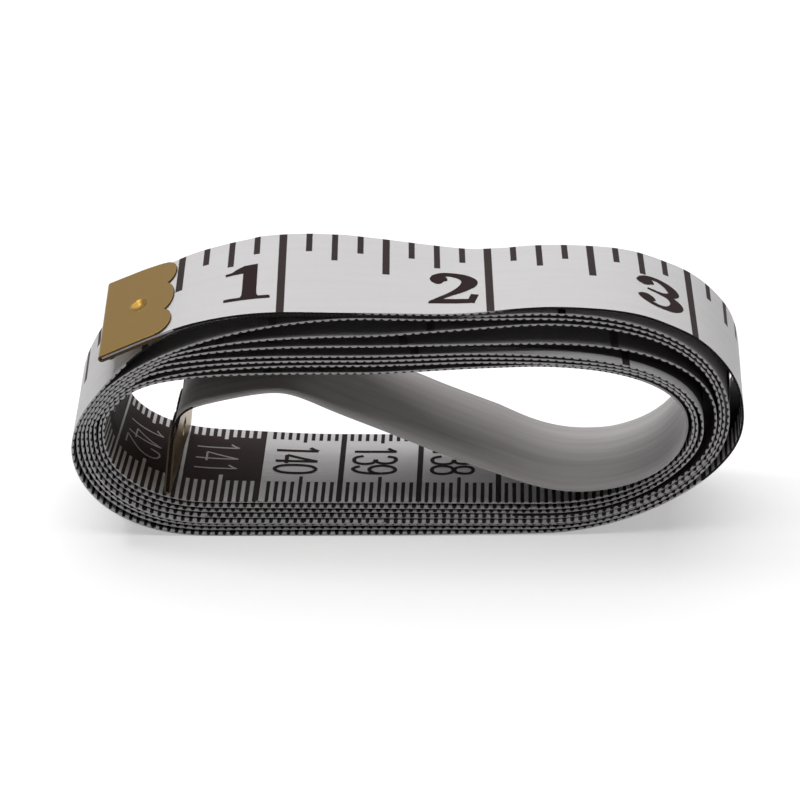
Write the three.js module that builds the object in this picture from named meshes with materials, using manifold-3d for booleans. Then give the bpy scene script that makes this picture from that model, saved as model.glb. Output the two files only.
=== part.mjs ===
// A cloth tape measure: a printed strip of coated glass cloth, wound into a loose oval coil that lies on
// its long flat side, with a folded brass clip on each end. The tape is one strip on the real object.
// Here it is parted at the lines where its free ends bend, so that each stretch can turn on the next.
// Millimetres, +Z up, the coil's axis along Y, the origin under the middle of the coil.

import * as THREE from "three";
import { mergeVertices } from "three/addons/utils/BufferGeometryUtils.js";
import Module from "manifold-3d";

// The tape
const tapeWidth = 16;
const tapeThickness = 0.25;
const bendLineGap = 0.3; // clear slit at each line where a free end bends

// The coil, whose first turn is the outermost. Heights and reaches are to the tape's middle surface.
const coilTurns = 8;
const coilLength = 81.5; // along X, outside to outside
const coilTopHeight = 30.2; // of the first layer under the lead
const leadRise = 1.8; // of the lead over that layer, where it leaves the coil
const sideLayerGap = 0.5;
const bottomLayerGap = 0.46;
const topLayerGap = 0.83;
// Each bend's widest height, and how long and how full its lower and upper quarters are. The upper left
// quarter is fuller by its step on each turn further in.
const leftBend = {
  height: 12.8,
  lower: { length: 16.15, fullness: 2 },
  upper: { length: 37.15, fullness: 2, fullnessStep: 0.04 },
};
const rightBend = {
  height: 15.7,
  lower: { length: 23.35, fullness: 1.85 },
  upper: { length: 25.35, fullness: 2.6 },
};
const bendSteps = 12;
const runSteps = 3;

// The lead, the loose outermost stretch. Its root is measured back from where it leaves the coil, the rest
// from the coil's left end, each with the height over the layer under the lead.
const leadLeaves = 45; // degrees up the right bend
const leadRootRoute = [[4.4, 0.2], [9, 1.5], [16, 1.95], [22.5, 1.6], [28, 0.95]];
const leadMiddleRoute = [[28.4, 2.4], [22.85, 2]];
const leadEndRoute = [[17.95, 1], [13.65, -0.3]];
const leadClipSlope = -23; // degrees, of the straight end that the clip holds
const leadEndReach = 1.2; // straight tape between the last bend and the clip

// The tail, the inner end. It leaves the last bend in a trough, climbs to a crest and turns down to its clip.
const tailLeaves = 68; // degrees down the right bend
// The trough is measured back from the last bend and up from the innermost bottom layer, and the crest off
// the left bend and down from the innermost top layer. The turn's heights are shares of the crest's.
const troughRoute = [[17, 1.55], [22, 3.1], [27, 5.1]];
const crestRoute = [[25.4, 4.6], [21.9, 3.3], [18.9, 2.7]];
const turnRoute = [[14.6, 0.88], [10.2, 0.55], [8.6, 0.29], [8.2, 0]];
const tailClipSlope = -82; // degrees, of the straight end that the clip holds
const tailClipClearance = 1; // of the hanging clip over the innermost bottom layer

// The end clips, sheet brass folded over the tape's end, the free edge cut to three lobes
const clipLength = 9.3; // fold to lobe tips
const clipSheet = 0.25;
const crimpClearance = 0.1; // between the sheet and each face of the tape
const sideLobe = { start: 6.1, tip: 4, notch: 5.5 }; // along the clip, then in from its edge
const notchDepth = 1.1;
const dimple = { fromFold: 4.4, radius: 1.2, depth: 0.16, segments: 32, rings: 24 };
const lobeSegments = 6;
const foldSegments = 8;
const outlineMargin = 1; // by which the cutting outline passes the sheet where nothing is cut away
const weldDistance = 1e-5; // corners closer than this are one

const tapeMaterial = new THREE.MeshStandardMaterial({ color: 0xd8d6d6, roughness: 0.55, metalness: 0 });
const brassMaterial = new THREE.MeshStandardMaterial({ color: 0x9c8246, roughness: 0.38, metalness: 1 });

const sidePitch = tapeThickness + sideLayerGap;
const bottomPitch = tapeThickness + bottomLayerGap;
const topPitch = tapeThickness + topLayerGap;
const clipSlotHalf = tapeThickness / 2 + crimpClearance;
const clipHalf = clipSlotHalf + clipSheet;

const wasm = await Module();
wasm.setup();

// The flat runs between the bends, and where each turn of the coil reaches on its four sides
const coilHalf = coilLength / 2;
const bottomRun = { left: leftBend.lower.length - coilHalf, right: coilHalf - rightBend.lower.length };
const topRun = { left: leftBend.upper.length - coilHalf, right: coilHalf - rightBend.upper.length };
const sideReach = (turn) => coilHalf - tapeThickness / 2 - sidePitch * (turn - 1);
const bottomHeight = (turn) => tapeThickness / 2 + bottomPitch * (turn - 1);

function topHeight(turn) {
  return turn === 1 ? coilTopHeight + leadRise : coilTopHeight - topPitch * (turn - 2);
}

// A quarter of a bend: from its widest point at 0 degrees to the run that it joins at 90
function quarterBend(centre, reach, fullness, startAngle, endAngle) {
  const points = [];
  for (let step = 0; step <= bendSteps; step++) {
    const angle = THREE.MathUtils.degToRad(startAngle + ((endAngle - startAngle) * step) / bendSteps);
    const along = Math.max(Math.cos(angle), 0) ** (2 / fullness);
    const up = Math.max(Math.sin(angle), 0) ** (2 / fullness);
    points.push(new THREE.Vector2(centre.x + reach.x * along, centre.y + reach.y * up));
  }
  return points;
}

function lowerRight(turn, startAngle, endAngle) {
  const centre = new THREE.Vector2(bottomRun.right, rightBend.height);
  const reach = new THREE.Vector2(sideReach(turn), bottomHeight(turn)).sub(centre);
  return quarterBend(centre, reach, rightBend.lower.fullness, startAngle, endAngle);
}

function lowerLeft(turn) {
  const centre = new THREE.Vector2(bottomRun.left, leftBend.height);
  const reach = new THREE.Vector2(-sideReach(turn), bottomHeight(turn)).sub(centre);
  return quarterBend(centre, reach, leftBend.lower.fullness, 90, 0);
}

function upperLeft(turn) {
  const centre = new THREE.Vector2(topRun.left, leftBend.height);
  const reach = new THREE.Vector2(-sideReach(turn), topHeight(turn + 1)).sub(centre);
  const fullness = leftBend.upper.fullness + leftBend.upper.fullnessStep * (turn - 1);
  return quarterBend(centre, reach, fullness, 0, 90);
}

function upperRight(turn, startAngle, endAngle) {
  const centre = new THREE.Vector2(topRun.right, rightBend.height);
  const reach = new THREE.Vector2(sideReach(turn), topHeight(turn)).sub(centre);
  return quarterBend(centre, reach, rightBend.upper.fullness, startAngle, endAngle);
}

function flatRun(start, end) {
  const points = [];
  for (let step = 1; step < runSteps; step++) {
    points.push(start.clone().lerp(end, step / runSteps));
  }
  return points;
}

// One turn, from the widest point of the right bend round to the same place a layer further in
function coilTurn(turn) {
  const fall = lowerRight(turn, 0, 90);
  const bottom = flatRun(fall.at(-1), new THREE.Vector2(bottomRun.left, bottomHeight(turn)));
  const climb = lowerLeft(turn);
  const rise = upperLeft(turn);
  const top = flatRun(rise.at(-1), new THREE.Vector2(topRun.right, topHeight(turn + 1)));
  const close = upperRight(turn + 1, 90, 0);
  return [...fall, ...bottom, ...climb, ...rise.slice(1), ...top, ...close.slice(0, -1)];
}

// A smooth line through points chosen along a free stretch
function smoothLine(points) {
  const curve = new THREE.CatmullRomCurve3(points.map((p) => new THREE.Vector3(p.x, 0, p.y)));
  return curve.getPoints((points.length - 1) * runSteps).map((p) => new THREE.Vector2(p.x, p.z));
}

function directionAt(line, index) {
  const before = line[Math.max(index - 1, 0)];
  const after = line[Math.min(index + 1, line.length - 1)];
  return after.clone().sub(before).normalize();
}

// Draws in an end of a line by half the slit, so that two stretches stay clear of each other
function trimmed(line, atStart, atEnd) {
  const points = line.map((p) => p.clone());
  const last = points.length - 1;
  const startStep = directionAt([line[0], line[1]], 0).multiplyScalar(atStart ? bendLineGap / 2 : 0);
  const endStep = directionAt([line[last - 1], line[last]], 1).multiplyScalar(atEnd ? bendLineGap / 2 : 0);
  points[0].add(startStep);
  points[last].sub(endStep);
  return points;
}

// A strip of tape along a line in the XZ plane, closed at both ends
function tapeStrip(line) {
  const positions = [];
  const index = [];
  const half = tapeThickness / 2;
  const side = tapeWidth / 2;
  for (let i = 0; i < line.length; i++) {
    const along = directionAt(line, i);
    const out = new THREE.Vector2(-along.y, along.x).multiplyScalar(half);
    for (const [face, y] of [[1, -side], [1, side], [-1, side], [-1, -side]]) {
      positions.push(line[i].x + face * out.x, y, line[i].y + face * out.y);
    }
  }
  for (let i = 0; i + 1 < line.length; i++) {
    for (let corner = 0; corner < 4; corner++) {
      const a = i * 4 + corner;
      const b = i * 4 + ((corner + 1) % 4);
      index.push(a, a + 4, b, b, a + 4, b + 4);
    }
  }
  const end = (line.length - 1) * 4;
  index.push(0, 1, 2, 0, 2, 3);
  index.push(end, end + 2, end + 1, end, end + 3, end + 2);
  const geometry = new THREE.BufferGeometry();
  geometry.setAttribute("position", new THREE.Float32BufferAttribute(positions, 3));
  geometry.setIndex(index);
  geometry.computeVertexNormals();
  return geometry;
}

function tapeMesh(name, line) {
  const mesh = new THREE.Mesh(tapeStrip(line), tapeMaterial);
  mesh.name = name;
  return mesh;
}

// Joins and cuts between closed shapes
function solidOf(geometry) {
  const bare = geometry.clone();
  bare.deleteAttribute("normal");
  bare.deleteAttribute("uv");
  const merged = mergeVertices(bare, weldDistance);
  const vertProperties = new Float32Array(merged.attributes.position.array);
  const triVerts = new Uint32Array(merged.index.array);
  return new wasm.Manifold(new wasm.Mesh({ numProp: 3, vertProperties, triVerts }));
}

function geometryOf(solid) {
  const { vertProperties, triVerts } = solid.getMesh();
  const geometry = new THREE.BufferGeometry();
  geometry.setAttribute("position", new THREE.Float32BufferAttribute(vertProperties, 3));
  geometry.setIndex(Array.from(triVerts));
  geometry.computeVertexNormals();
  return geometry;
}

// The clip lies along +X from its fold, with its printed-face leaf at +Z
function clipFoldGeometry() {
  const shape = new THREE.Shape();
  shape.moveTo(clipLength, clipHalf);
  shape.lineTo(clipHalf, clipHalf);
  shape.absarc(clipHalf, 0, clipHalf, Math.PI / 2, (3 * Math.PI) / 2, false);
  shape.lineTo(clipLength, -clipHalf);
  shape.lineTo(clipLength, -clipSlotHalf);
  shape.lineTo(clipHalf, -clipSlotHalf);
  shape.absarc(clipHalf, 0, clipSlotHalf, (3 * Math.PI) / 2, Math.PI / 2, true);
  shape.lineTo(clipLength, clipSlotHalf);
  shape.closePath();
  const settings = { depth: tapeWidth, bevelEnabled: false, curveSegments: foldSegments };
  const geometry = new THREE.ExtrudeGeometry(shape, settings);
  geometry.rotateX(Math.PI / 2);
  geometry.translate(0, tapeWidth / 2, 0);
  return geometry;
}

function clipOutlineGeometry() {
  const edge = tapeWidth / 2;
  const tip = edge - sideLobe.tip;
  const notch = edge - sideLobe.notch;
  const notchAt = clipLength - notchDepth;
  const middleBulge = notchAt + (4 / 3) * notchDepth; // a cubic crests at 3/4 of its control points
  const outside = edge + outlineMargin;
  const shape = new THREE.Shape();
  shape.moveTo(-outlineMargin, -outside);
  shape.lineTo(sideLobe.start, -outside);
  shape.lineTo(sideLobe.start, -edge);
  shape.quadraticCurveTo(clipLength, -edge, clipLength, -tip);
  shape.quadraticCurveTo(clipLength, -notch, notchAt, -notch);
  shape.bezierCurveTo(middleBulge, -notch, middleBulge, notch, notchAt, notch);
  shape.quadraticCurveTo(clipLength, notch, clipLength, tip);
  shape.quadraticCurveTo(clipLength, edge, sideLobe.start, edge);
  shape.lineTo(sideLobe.start, outside);
  shape.lineTo(-outlineMargin, outside);
  shape.closePath();
  const depth = 2 * (clipHalf + outlineMargin);
  const settings = { depth, bevelEnabled: false, curveSegments: lobeSegments };
  const geometry = new THREE.ExtrudeGeometry(shape, settings);
  geometry.translate(0, 0, -depth / 2);
  return geometry;
}

function dimpleGeometry() {
  const ballRadius = (dimple.radius ** 2 + dimple.depth ** 2) / (2 * dimple.depth);
  const geometry = new THREE.SphereGeometry(ballRadius, dimple.segments, dimple.rings);
  geometry.rotateX(Math.PI / 2);
  geometry.translate(dimple.fromFold, 0, clipHalf + ballRadius - dimple.depth);
  return geometry;
}

function clipMesh(name) {
  const folded = solidOf(clipFoldGeometry()).intersect(solidOf(clipOutlineGeometry()));
  const pressed = folded.subtract(solidOf(dimpleGeometry()));
  const mesh = new THREE.Mesh(geometryOf(pressed), brassMaterial);
  mesh.name = name;
  return mesh;
}

// Sets a clip on the tape's end: its fold lies beyond the end, and its lobes point back along the tape
function clipOnEnd(name, end, direction) {
  const holder = new THREE.Group();
  const fold = end.clone().addScaledVector(direction, clipHalf);
  holder.position.set(fold.x, 0, fold.y);
  holder.rotation.y = Math.atan2(direction.y, -direction.x);
  holder.add(clipMesh(name));
  return holder;
}

function slopeDirection(degrees) {
  const angle = THREE.MathUtils.degToRad(degrees);
  return new THREE.Vector2(-Math.cos(angle), Math.sin(angle));
}

// Least distance from the coil's points to its other stretches, less the tape's thickness
function leastGap(line) {
  const nearBy = bendSteps;
  const segment = new THREE.Line3();
  const nearest = new THREE.Vector3();
  const points = line.map((p) => new THREE.Vector3(p.x, 0, p.y));
  let least = Infinity;
  for (let i = 0; i < points.length; i++) {
    for (let j = 0; j + 1 < points.length; j++) {
      if (Math.abs(i - j) > nearBy) {
        segment.set(points[j], points[j + 1]);
        segment.closestPointToPoint(points[i], true, nearest);
        least = Math.min(least, nearest.distanceTo(points[i]));
      }
    }
  }
  return least - tapeThickness;
}

// The wound coil, from where the lead leaves it to where the tail's free stretch begins
const innerTurn = coilTurns + 1;
const coilStart = upperRight(1, leadLeaves, 0);
const coilLine = coilStart.slice(0, -1);
for (let turn = 1; turn <= coilTurns; turn++) {
  coilLine.push(...coilTurn(turn));
}
const lastBend = lowerRight(innerTurn, 0, tailLeaves);
const tailOrigin = new THREE.Vector2(sideReach(innerTurn), bottomHeight(coilTurns));
const tailPoint = ([back, rise]) => new THREE.Vector2(tailOrigin.x - back, tailOrigin.y + rise);
const trough = smoothLine([lastBend.at(-2), lastBend.at(-1), ...troughRoute.map(tailPoint)]);
coilLine.push(...lastBend.slice(0, -1), ...trough.slice(runSteps));
console.log(`least gap of the coil to itself: ${leastGap(coilLine).toFixed(3)} mm`);

// The lead's three stretches, each turning on the one before it
const leadOrigin = coilStart[0];
const leadRootPoint = ([back, rise]) => new THREE.Vector2(leadOrigin.x - back, coilTopHeight + rise);
const leadPoint = ([off, rise]) => new THREE.Vector2(off - coilHalf, coilTopHeight + rise);
const leadRootLine = smoothLine([leadOrigin, ...leadRootRoute.map(leadRootPoint)]);
const leadMiddleLine = smoothLine([leadRootLine.at(-1), ...leadMiddleRoute.map(leadPoint)]);
const leadEndLine = smoothLine([leadMiddleLine.at(-1), ...leadEndRoute.map(leadPoint)]);
const leadDirection = slopeDirection(leadClipSlope);
const heldLength = clipLength - clipHalf;
const leadTip = leadEndLine.at(-1).clone().addScaledVector(leadDirection, leadEndReach + heldLength);
leadEndLine.push(leadTip);

// The tail's free stretch, and the end that its clip weighs down
const tailDirection = slopeDirection(tailClipSlope);
const leftReach = -sideReach(coilTurns);
const crestUnder = topHeight(innerTurn);
const hangingLength = bendLineGap + clipLength;
const clipFloor = bottomHeight(coilTurns) + tapeThickness / 2 + tailClipClearance;
const turnHeight = clipFloor - tailDirection.y * hangingLength;
const crestPoint = ([off, drop]) => new THREE.Vector2(leftReach + off, crestUnder - drop);
const crestPoints = crestRoute.map(crestPoint);
const crestOverTurn = crestPoints.at(-1).y - turnHeight;
const turnPoint = ([off, share]) => new THREE.Vector2(leftReach + off, turnHeight + crestOverTurn * share);
const tailLine = smoothLine([tailPoint(troughRoute.at(-1)), ...crestPoints, ...turnRoute.map(turnPoint)]);
const tailBendLine = tailLine.at(-1);
const tailTip = tailBendLine.clone().addScaledVector(tailDirection, bendLineGap + heldLength);
const tailEndLine = [tailBendLine, tailTip];

const tapeMeasure = new THREE.Group();
tapeMeasure.add(tapeMesh("tape_coil", trimmed(coilLine, true, true)));
tapeMeasure.add(tapeMesh("tape_lead_root", trimmed(leadRootLine, true, true)));
tapeMeasure.add(tapeMesh("tape_lead_middle", trimmed(leadMiddleLine, true, true)));
tapeMeasure.add(tapeMesh("tape_lead_end", trimmed(leadEndLine, true, false)));
tapeMeasure.add(clipOnEnd("outer_end_clip", leadTip, leadDirection));
tapeMeasure.add(tapeMesh("tape_tail", trimmed(tailLine, true, true)));
tapeMeasure.add(tapeMesh("tape_tail_end", trimmed(tailEndLine, true, false)));
tapeMeasure.add(clipOnEnd("inner_end_clip", tailTip, tailDirection));

export default tapeMeasure;
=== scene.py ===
import math

import bmesh
import bpy
import numpy as np
from mathutils import Matrix


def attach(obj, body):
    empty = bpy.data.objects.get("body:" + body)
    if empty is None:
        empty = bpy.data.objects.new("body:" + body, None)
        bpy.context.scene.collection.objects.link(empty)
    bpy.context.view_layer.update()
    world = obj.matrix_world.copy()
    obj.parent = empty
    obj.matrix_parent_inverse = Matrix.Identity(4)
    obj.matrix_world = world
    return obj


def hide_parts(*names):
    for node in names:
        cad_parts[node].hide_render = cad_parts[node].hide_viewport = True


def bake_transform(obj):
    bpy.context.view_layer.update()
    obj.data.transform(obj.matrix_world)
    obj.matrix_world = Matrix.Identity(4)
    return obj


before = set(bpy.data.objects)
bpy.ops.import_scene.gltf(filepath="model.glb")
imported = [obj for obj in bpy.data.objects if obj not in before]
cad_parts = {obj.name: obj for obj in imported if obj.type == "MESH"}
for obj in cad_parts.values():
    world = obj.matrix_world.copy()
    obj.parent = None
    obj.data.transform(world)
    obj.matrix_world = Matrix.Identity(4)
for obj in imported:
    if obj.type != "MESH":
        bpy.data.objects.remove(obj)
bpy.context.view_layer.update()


# The lie of the tape: one strip wound by hand into an oval of eight turns and let go, so that the turns spring
# against each other. Its outer end lies loose on top and its inner end crosses the hollow. All lengths are
# millimetres; the route is that of the strip's front edge, and it starts at the outer end.
MM = 0.001
tape_width = 16.0
tape_thickness = 0.27
least_pitch = 0.36
bottom_run = (-24.6, 17.4)
top_run = (-3.6, 15.4)
left_shoulder = 12.8
right_shoulder = 15.7
right_reach = [41.05, 39.3, 38.75, 38.3, 37.8, 36.15, 35.45, 35.0, 34.5]
left_reach = [-40.8, -40.1, -39.45, -38.9, -38.4, -37.85, -37.3, -36.8]
bottom_left_level = [0.135, 0.77, 1.26, 1.75, 2.29, 2.84, 3.39, 3.92]
bottom_left_fullness = [2.1] + [2.03] * 7
bottom_right_level = [0.38, 0.92, 1.34, 1.77, 2.22, 2.69, 3.19, 3.74]
bottom_right_fullness = [1.74, 1.82, 1.88, 1.92, 1.95, 2.0, 2.05, 2.1]
top_left_level = [30.58, 28.15, 26.75, 25.38, 24.72, 24.08, 23.05]
top_left_fullness = [1.99, 2.55, 3.05, 3.7, 3.55, 3.3, 4.0]
top_right_level = [31.2, 30.55, 29.8, 27.2, 26.0, 25.45, 24.9, 24.35]
top_right_fullness = [2.3, 2.35, 2.42, 2.42, 2.2, 2.33, 2.48, 2.12]
top_sag = {0: [(2.5, 30.74), (8, 30.8)], 1: [(2.5, 30.4), (8, 30.45)]}
lead_route = [
    (-36.35, 25.12), (-30.85, 27.7), (-26.65, 29.5), (-24.45, 30.1), (-21.05, 30.85), (-17.75, 31.26), (-14.65, 31.4),
    (-8, 31.27), (-3.6, 31.22), (-1.35, 31.17), (2.95, 31.07), (6.45, 31.1), (7.85, 31.18), (10.05, 31.45),
    (13.65, 31.9), (17.35, 32.1), (21.15, 31.95), (24.45, 31.7), (28.35, 31.0), (31.35, 29.7), (34.3, 28.3),
    (36.1, 26.9), (37.85, 25.0), (39.3, 23.05), (40.35, 20.8), (40.9, 18),
]
under_lead_route = [
    (-40.3, 14.6), (-39.9, 15.8), (-39.1, 17.4), (-37.1, 20.2), (-34.95, 22.8), (-33.4, 24.5), (-31.4, 26.35),
    (-29.4, 27.6), (-26.65, 29.1), (-24.45, 29.75), (-21.05, 30.48), (-17.75, 30.88), (-14.65, 31.02), (-8, 30.92),
    (-3.6, 30.88),
]
tail_route = [
    (34.05, 12.9), (32.3, 10.25), (30.3, 8.6), (26.4, 6.9), (21.3, 6.2), (17.2, 6.75), (14.1, 7.85), (11.8, 8.75),
    (4.3, 11.85), (-1.5, 14.6), (-8.8, 17.87), (-12.6, 19.85), (-15.0, 20.75), (-19.9, 19.95), (-25.5, 18.55),
    (-27.3, 17.8), (-28.05, 16.6), (-29.25, 6.4),
]


def rounded_corner(run_end, side, shoulder, level, fullness, start, stop):
    """Points round a quarter of an oval between two angles; a fullness of 2 is an ellipse, and more is squarer."""
    steps = 24
    points = []
    for step in range(steps + 1):
        angle = math.radians(start + (stop - start) * step / steps)
        x = run_end + (side - run_end) * max(math.cos(angle), 0) ** (2 / fullness)
        z = shoulder + (level - shoulder) * max(math.sin(angle), 0) ** (2 / fullness)
        points.append((x, z))
    return points


route = list(lead_route)
for turn in range(8):
    level, fullness = bottom_right_level[turn], bottom_right_fullness[turn]
    route += rounded_corner(bottom_run[1], right_reach[turn], right_shoulder, level, fullness, 0, 90)
    level, fullness = bottom_left_level[turn], bottom_left_fullness[turn]
    route += rounded_corner(bottom_run[0], left_reach[turn], left_shoulder, level, fullness, 90, 0)
    if turn == 0:
        route += under_lead_route
    else:
        level, fullness = top_left_level[turn - 1], top_left_fullness[turn - 1]
        route += rounded_corner(top_run[0], left_reach[turn], left_shoulder, level, fullness, 0, 90)[1:]
    route += top_sag.get(turn, [])
    level, fullness = top_right_level[turn], top_right_fullness[turn]
    route += rounded_corner(top_run[1], right_reach[turn + 1], right_shoulder, level, fullness, 90, 0)[:-1]
route += tail_route


def distance_along(points):
    return np.concatenate(([0], np.cumsum(np.hypot(*np.diff(points, axis=0).T))))


def evenly_spaced(points, step):
    reached = distance_along(points)
    wanted = np.linspace(0, reached[-1], round(reached[-1] / step) + 1)
    return np.stack([np.interp(wanted, reached, points[:, axis]) for axis in (0, 1)], axis=1)


def eased(points, times):
    for ease in range(times):
        points[1:-1] = (points[:-2] + 2 * points[1:-1] + points[2:]) / 4
    return points


def headings(points):
    ahead = np.gradient(points, axis=0)
    return ahead / np.hypot(*ahead.T)[:, None]


rough_step = 0.8
fine_step = 0.4
route_easing = 6
settling_rounds = 3
settling_easing = 2
turn_least = 60
turn_most = 260
overlap_most = 3
edge = evenly_spaced(eased(evenly_spaced(np.array(route), rough_step), route_easing), fine_step)
for settling in range(settling_rounds):
    reach = distance_along(edge)
    heading = headings(edge)
    for here in range(len(edge)):
        turn_outside = np.flatnonzero((reach < reach[here] - turn_least) & (reach > reach[here] - turn_most))
        if len(turn_outside):
            nearest = turn_outside[np.argmin(np.hypot(*(edge[here] - edge[turn_outside]).T))]
            inward = np.array([heading[nearest, 1], -heading[nearest, 0]])
            clear = (edge[here] - edge[nearest]) @ inward
            if -overlap_most < clear < least_pitch:
                edge[here] += inward * (least_pitch - clear)
    edge = eased(edge, settling_easing)
edge = evenly_spaced(edge, fine_step)
reach = distance_along(edge)
heading = headings(edge)
tape_length = float(reach[-1])
twist_places = [
    0, 5, 8, 12, 15, 18, 20, 22, 26, 30, 36, 42, 46, 50, 60, 70, 80, 92, 105, 150, 165, 181, 184, 187, 190, 198, 212,
    235, 250, 268, 292, 312,
]
twist_degrees = [
    4, 3.6, 2.9, 4.2, 5.0, 6.0, 7.2, 7.6, 8.2, 7.8, 5.2, 2.4, 0.3, -0.6, 0, 1.0, 3.4, 3.6, 0, 0, -0.5, -0.2, 0.8, 1.7,
    2.8, 3.0, 2.6, 0.8, 0, 5.5, 5.5, 0,
]
tail_twist_places = [-26, -10, 2, 11.7, 16, 20, 26, 33]
tail_twist_degrees = [0, -1, -2, -1.5, 0.3, 1.8, 4.0, 5.0]
set_back_places = [100, 135, 325, 510, 691, 870, 1043, 1211, 1375, 1450, 1490]
set_back_steps = [0, -0.5, -0.09, 0.1, -0.24, 0.33, 0.79, 0.89, 1.31, 1.31, 0]
skew_places = [0, 10, 16, 22.4, 30, 45]
skew_slopes = [0.025, 0.027, 0.022, 0, 0, 0]
right_forward_places = [830, 960, 1450, 1490]
right_forward_steps = [0, 1.1, 1.1, 0]
inner_right_twist = 4.5
lower_right_twist = 4.4
inner_left_twist = -4
hanging_end_twist = 5.2


def rising(value, start, stop):
    """A share that eases from 0 at start to 1 at stop."""
    share = np.clip((value - start) / (stop - start), 0, 1)
    return share * share * (3 - 2 * share)


def wound(flat):
    """Places in metres of points of the flat strip: along it, across it from the front edge, and above its middle."""
    along, across, above = np.asarray(flat, float).T
    along = along + across * np.interp(along, skew_places, skew_slopes)
    on_tape = np.clip(along, 0, tape_length)
    x, z = (np.interp(on_tape, reach, edge[:, axis]) for axis in (0, 1))
    ahead_x, ahead_z = (np.interp(on_tape, reach, heading[:, axis]) for axis in (0, 1))
    x = x + ahead_x * (along - on_tape)
    z = z + ahead_z * (along - on_tape)
    set_back = rising(z, 18, 4) * np.interp(on_tape, set_back_places, set_back_steps)
    upper_right = rising(x, 6, 22) * rising(z, 8, 16)
    set_back -= upper_right * np.interp(on_tape, right_forward_places, right_forward_steps)
    in_tail = rising(on_tape, tape_length - 97, tape_length - 90)
    hanging = rising(on_tape, tape_length - 14, tape_length - 7)
    inner_right = rising(x, 24, 33) * rising(z, 8, 14) * rising(z, 26, 20) * rising(on_tape, 880, 960)
    lower_right = rising(x, 18, 27) * rising(z, 14, 8) * np.interp(on_tape, [100, 1375], [0, 1])
    inner_left = rising(x, -8, -34) * rising(on_tape, 1370, 1390) * rising(on_tape, 1480, 1455)
    fanned = inner_right_twist * inner_right + lower_right_twist * lower_right + inner_left_twist * inner_left
    twist = np.interp(on_tape, twist_places, twist_degrees) + (1 - in_tail) * fanned
    twist += in_tail * np.interp(x, tail_twist_places, tail_twist_degrees)
    twist = np.radians(twist + hanging_end_twist * hanging)
    outward = across * np.sin(twist) + above * np.cos(twist)
    y = across * np.cos(twist) - above * np.sin(twist) - tape_width / 2 + set_back
    return np.stack([x - ahead_z * outward, y, z + ahead_x * outward], axis=1) * MM


# The print and coat of the tape: glass cloth of about twenty threads to the centimetre, coated in satin white vinyl
# and printed in brown-black. The outer face is ruled in eighths of an inch and the inner face in millimetres, with
# every other ten centimetres reversed out of a solid ground; the millimetre marks run over the cut edge.
vinyl_white = (0.672, 0.658, 0.665, 1)
vinyl_worn = (0.56, 0.55, 0.555, 1)
# Grey-brown of the rubbed tail, also used for its painted shade.
vinyl_rubbed_and_shaded = (0.33, 0.27, 0.26, 1)
print_black = (0.03, 0.018, 0.019, 1)
print_deep_black = (0.008, 0.006, 0.006, 1)
# Painted shade: the dark grey laid on the tape's faces between the turns.
painted_gap_shade = (0.11, 0.1, 0.1, 1)
scale_zero = -3.2
inch = 25.4
centimetre_slant = 0.036
centimetre_scale_end = 1500.3
print_gain_places = np.array(
    [0, 12, 22, 35, 47, 73, 90, 250, 415, 616, 794, 970, 1110, 1300, 1391, 1440, 1465, 1487, 1600])
print_gain = np.array(
    [-0.1, -0.25, -0.35, -0.2, 0, 0.2, 0.3, 1.2, 1.4, 2.4, 3.1, 3.8, 3.7, 4.2, 5.0, 4.1, 4.5, 12, 12])


def printed_at(along):
    """Length of print at a length of the drawn route; the real turns wander a little more than the drawn ones."""
    return along + np.interp(along, print_gain_places, print_gain)


def on_route(printed):
    """Length of the drawn route at a length of print."""
    return np.interp(printed, print_gain_places + print_gain, print_gain_places)


tail_end_printed = float(printed_at(tape_length)) - scale_zero


def feed(tree, value, socket):
    """Gives a socket a plain value, or links it from another socket."""
    if isinstance(value, bpy.types.NodeSocket):
        tree.links.new(value, socket)
    else:
        socket.default_value = value


def calc(tree, operation, *values):
    node = tree.nodes.new("ShaderNodeMath")
    node.operation = operation
    for socket, value in zip(node.inputs, values):
        feed(tree, value, socket)
    return node.outputs[0]


def ramp(tree, value, start, stop, low=0, high=1, curve="SMOOTHSTEP"):
    """A value that goes from low to high as another one goes from start to stop."""
    node = tree.nodes.new("ShaderNodeMapRange")
    node.interpolation_type = curve
    feed(tree, value, node.inputs["Value"])
    feed(tree, start, node.inputs["From Min"])
    feed(tree, stop, node.inputs["From Max"])
    feed(tree, low, node.inputs["To Min"])
    feed(tree, high, node.inputs["To Max"])
    return node.outputs["Result"]


def mix_colours(tree, share, first, second):
    node = tree.nodes.new("ShaderNodeMix")
    node.data_type = "RGBA"
    tree.links.new(share, node.inputs["Factor"])
    feed(tree, first, node.inputs[6])
    feed(tree, second, node.inputs[7])
    return node.outputs[2]


def new_group(name, inputs, outputs):
    group = bpy.data.node_groups.new(name, "ShaderNodeTree")
    for title in inputs:
        group.interface.new_socket(title, in_out="INPUT", socket_type="NodeSocketFloat")
    for title in outputs:
        group.interface.new_socket(title, in_out="OUTPUT", socket_type="NodeSocketFloat")
    return group, group.nodes.new("NodeGroupInput"), group.nodes.new("NodeGroupOutput")


def place_group(tree, group, **values):
    node = tree.nodes.new("ShaderNodeGroup")
    node.node_tree = group
    for title, value in values.items():
        feed(tree, value, node.inputs[title])
    return node


ruled_marks, marks_in, marks_out = new_group("ruled_marks", ["Position", "Half_width", "Softness"], ["Mark"])
past = calc(ruled_marks, "FRACT", calc(ruled_marks, "ADD", marks_in.outputs["Position"], 0.5))
off_line = calc(ruled_marks, "ABSOLUTE", calc(ruled_marks, "SUBTRACT", past, 0.5))
half_width, softness = marks_in.outputs["Half_width"], marks_in.outputs["Softness"]
solid_to = calc(ruled_marks, "SUBTRACT", half_width, softness)
gone_at = calc(ruled_marks, "ADD", half_width, softness)
ruled_marks.links.new(ramp(ruled_marks, off_line, solid_to, gone_at, low=1, high=0), marks_out.inputs["Mark"])


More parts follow.
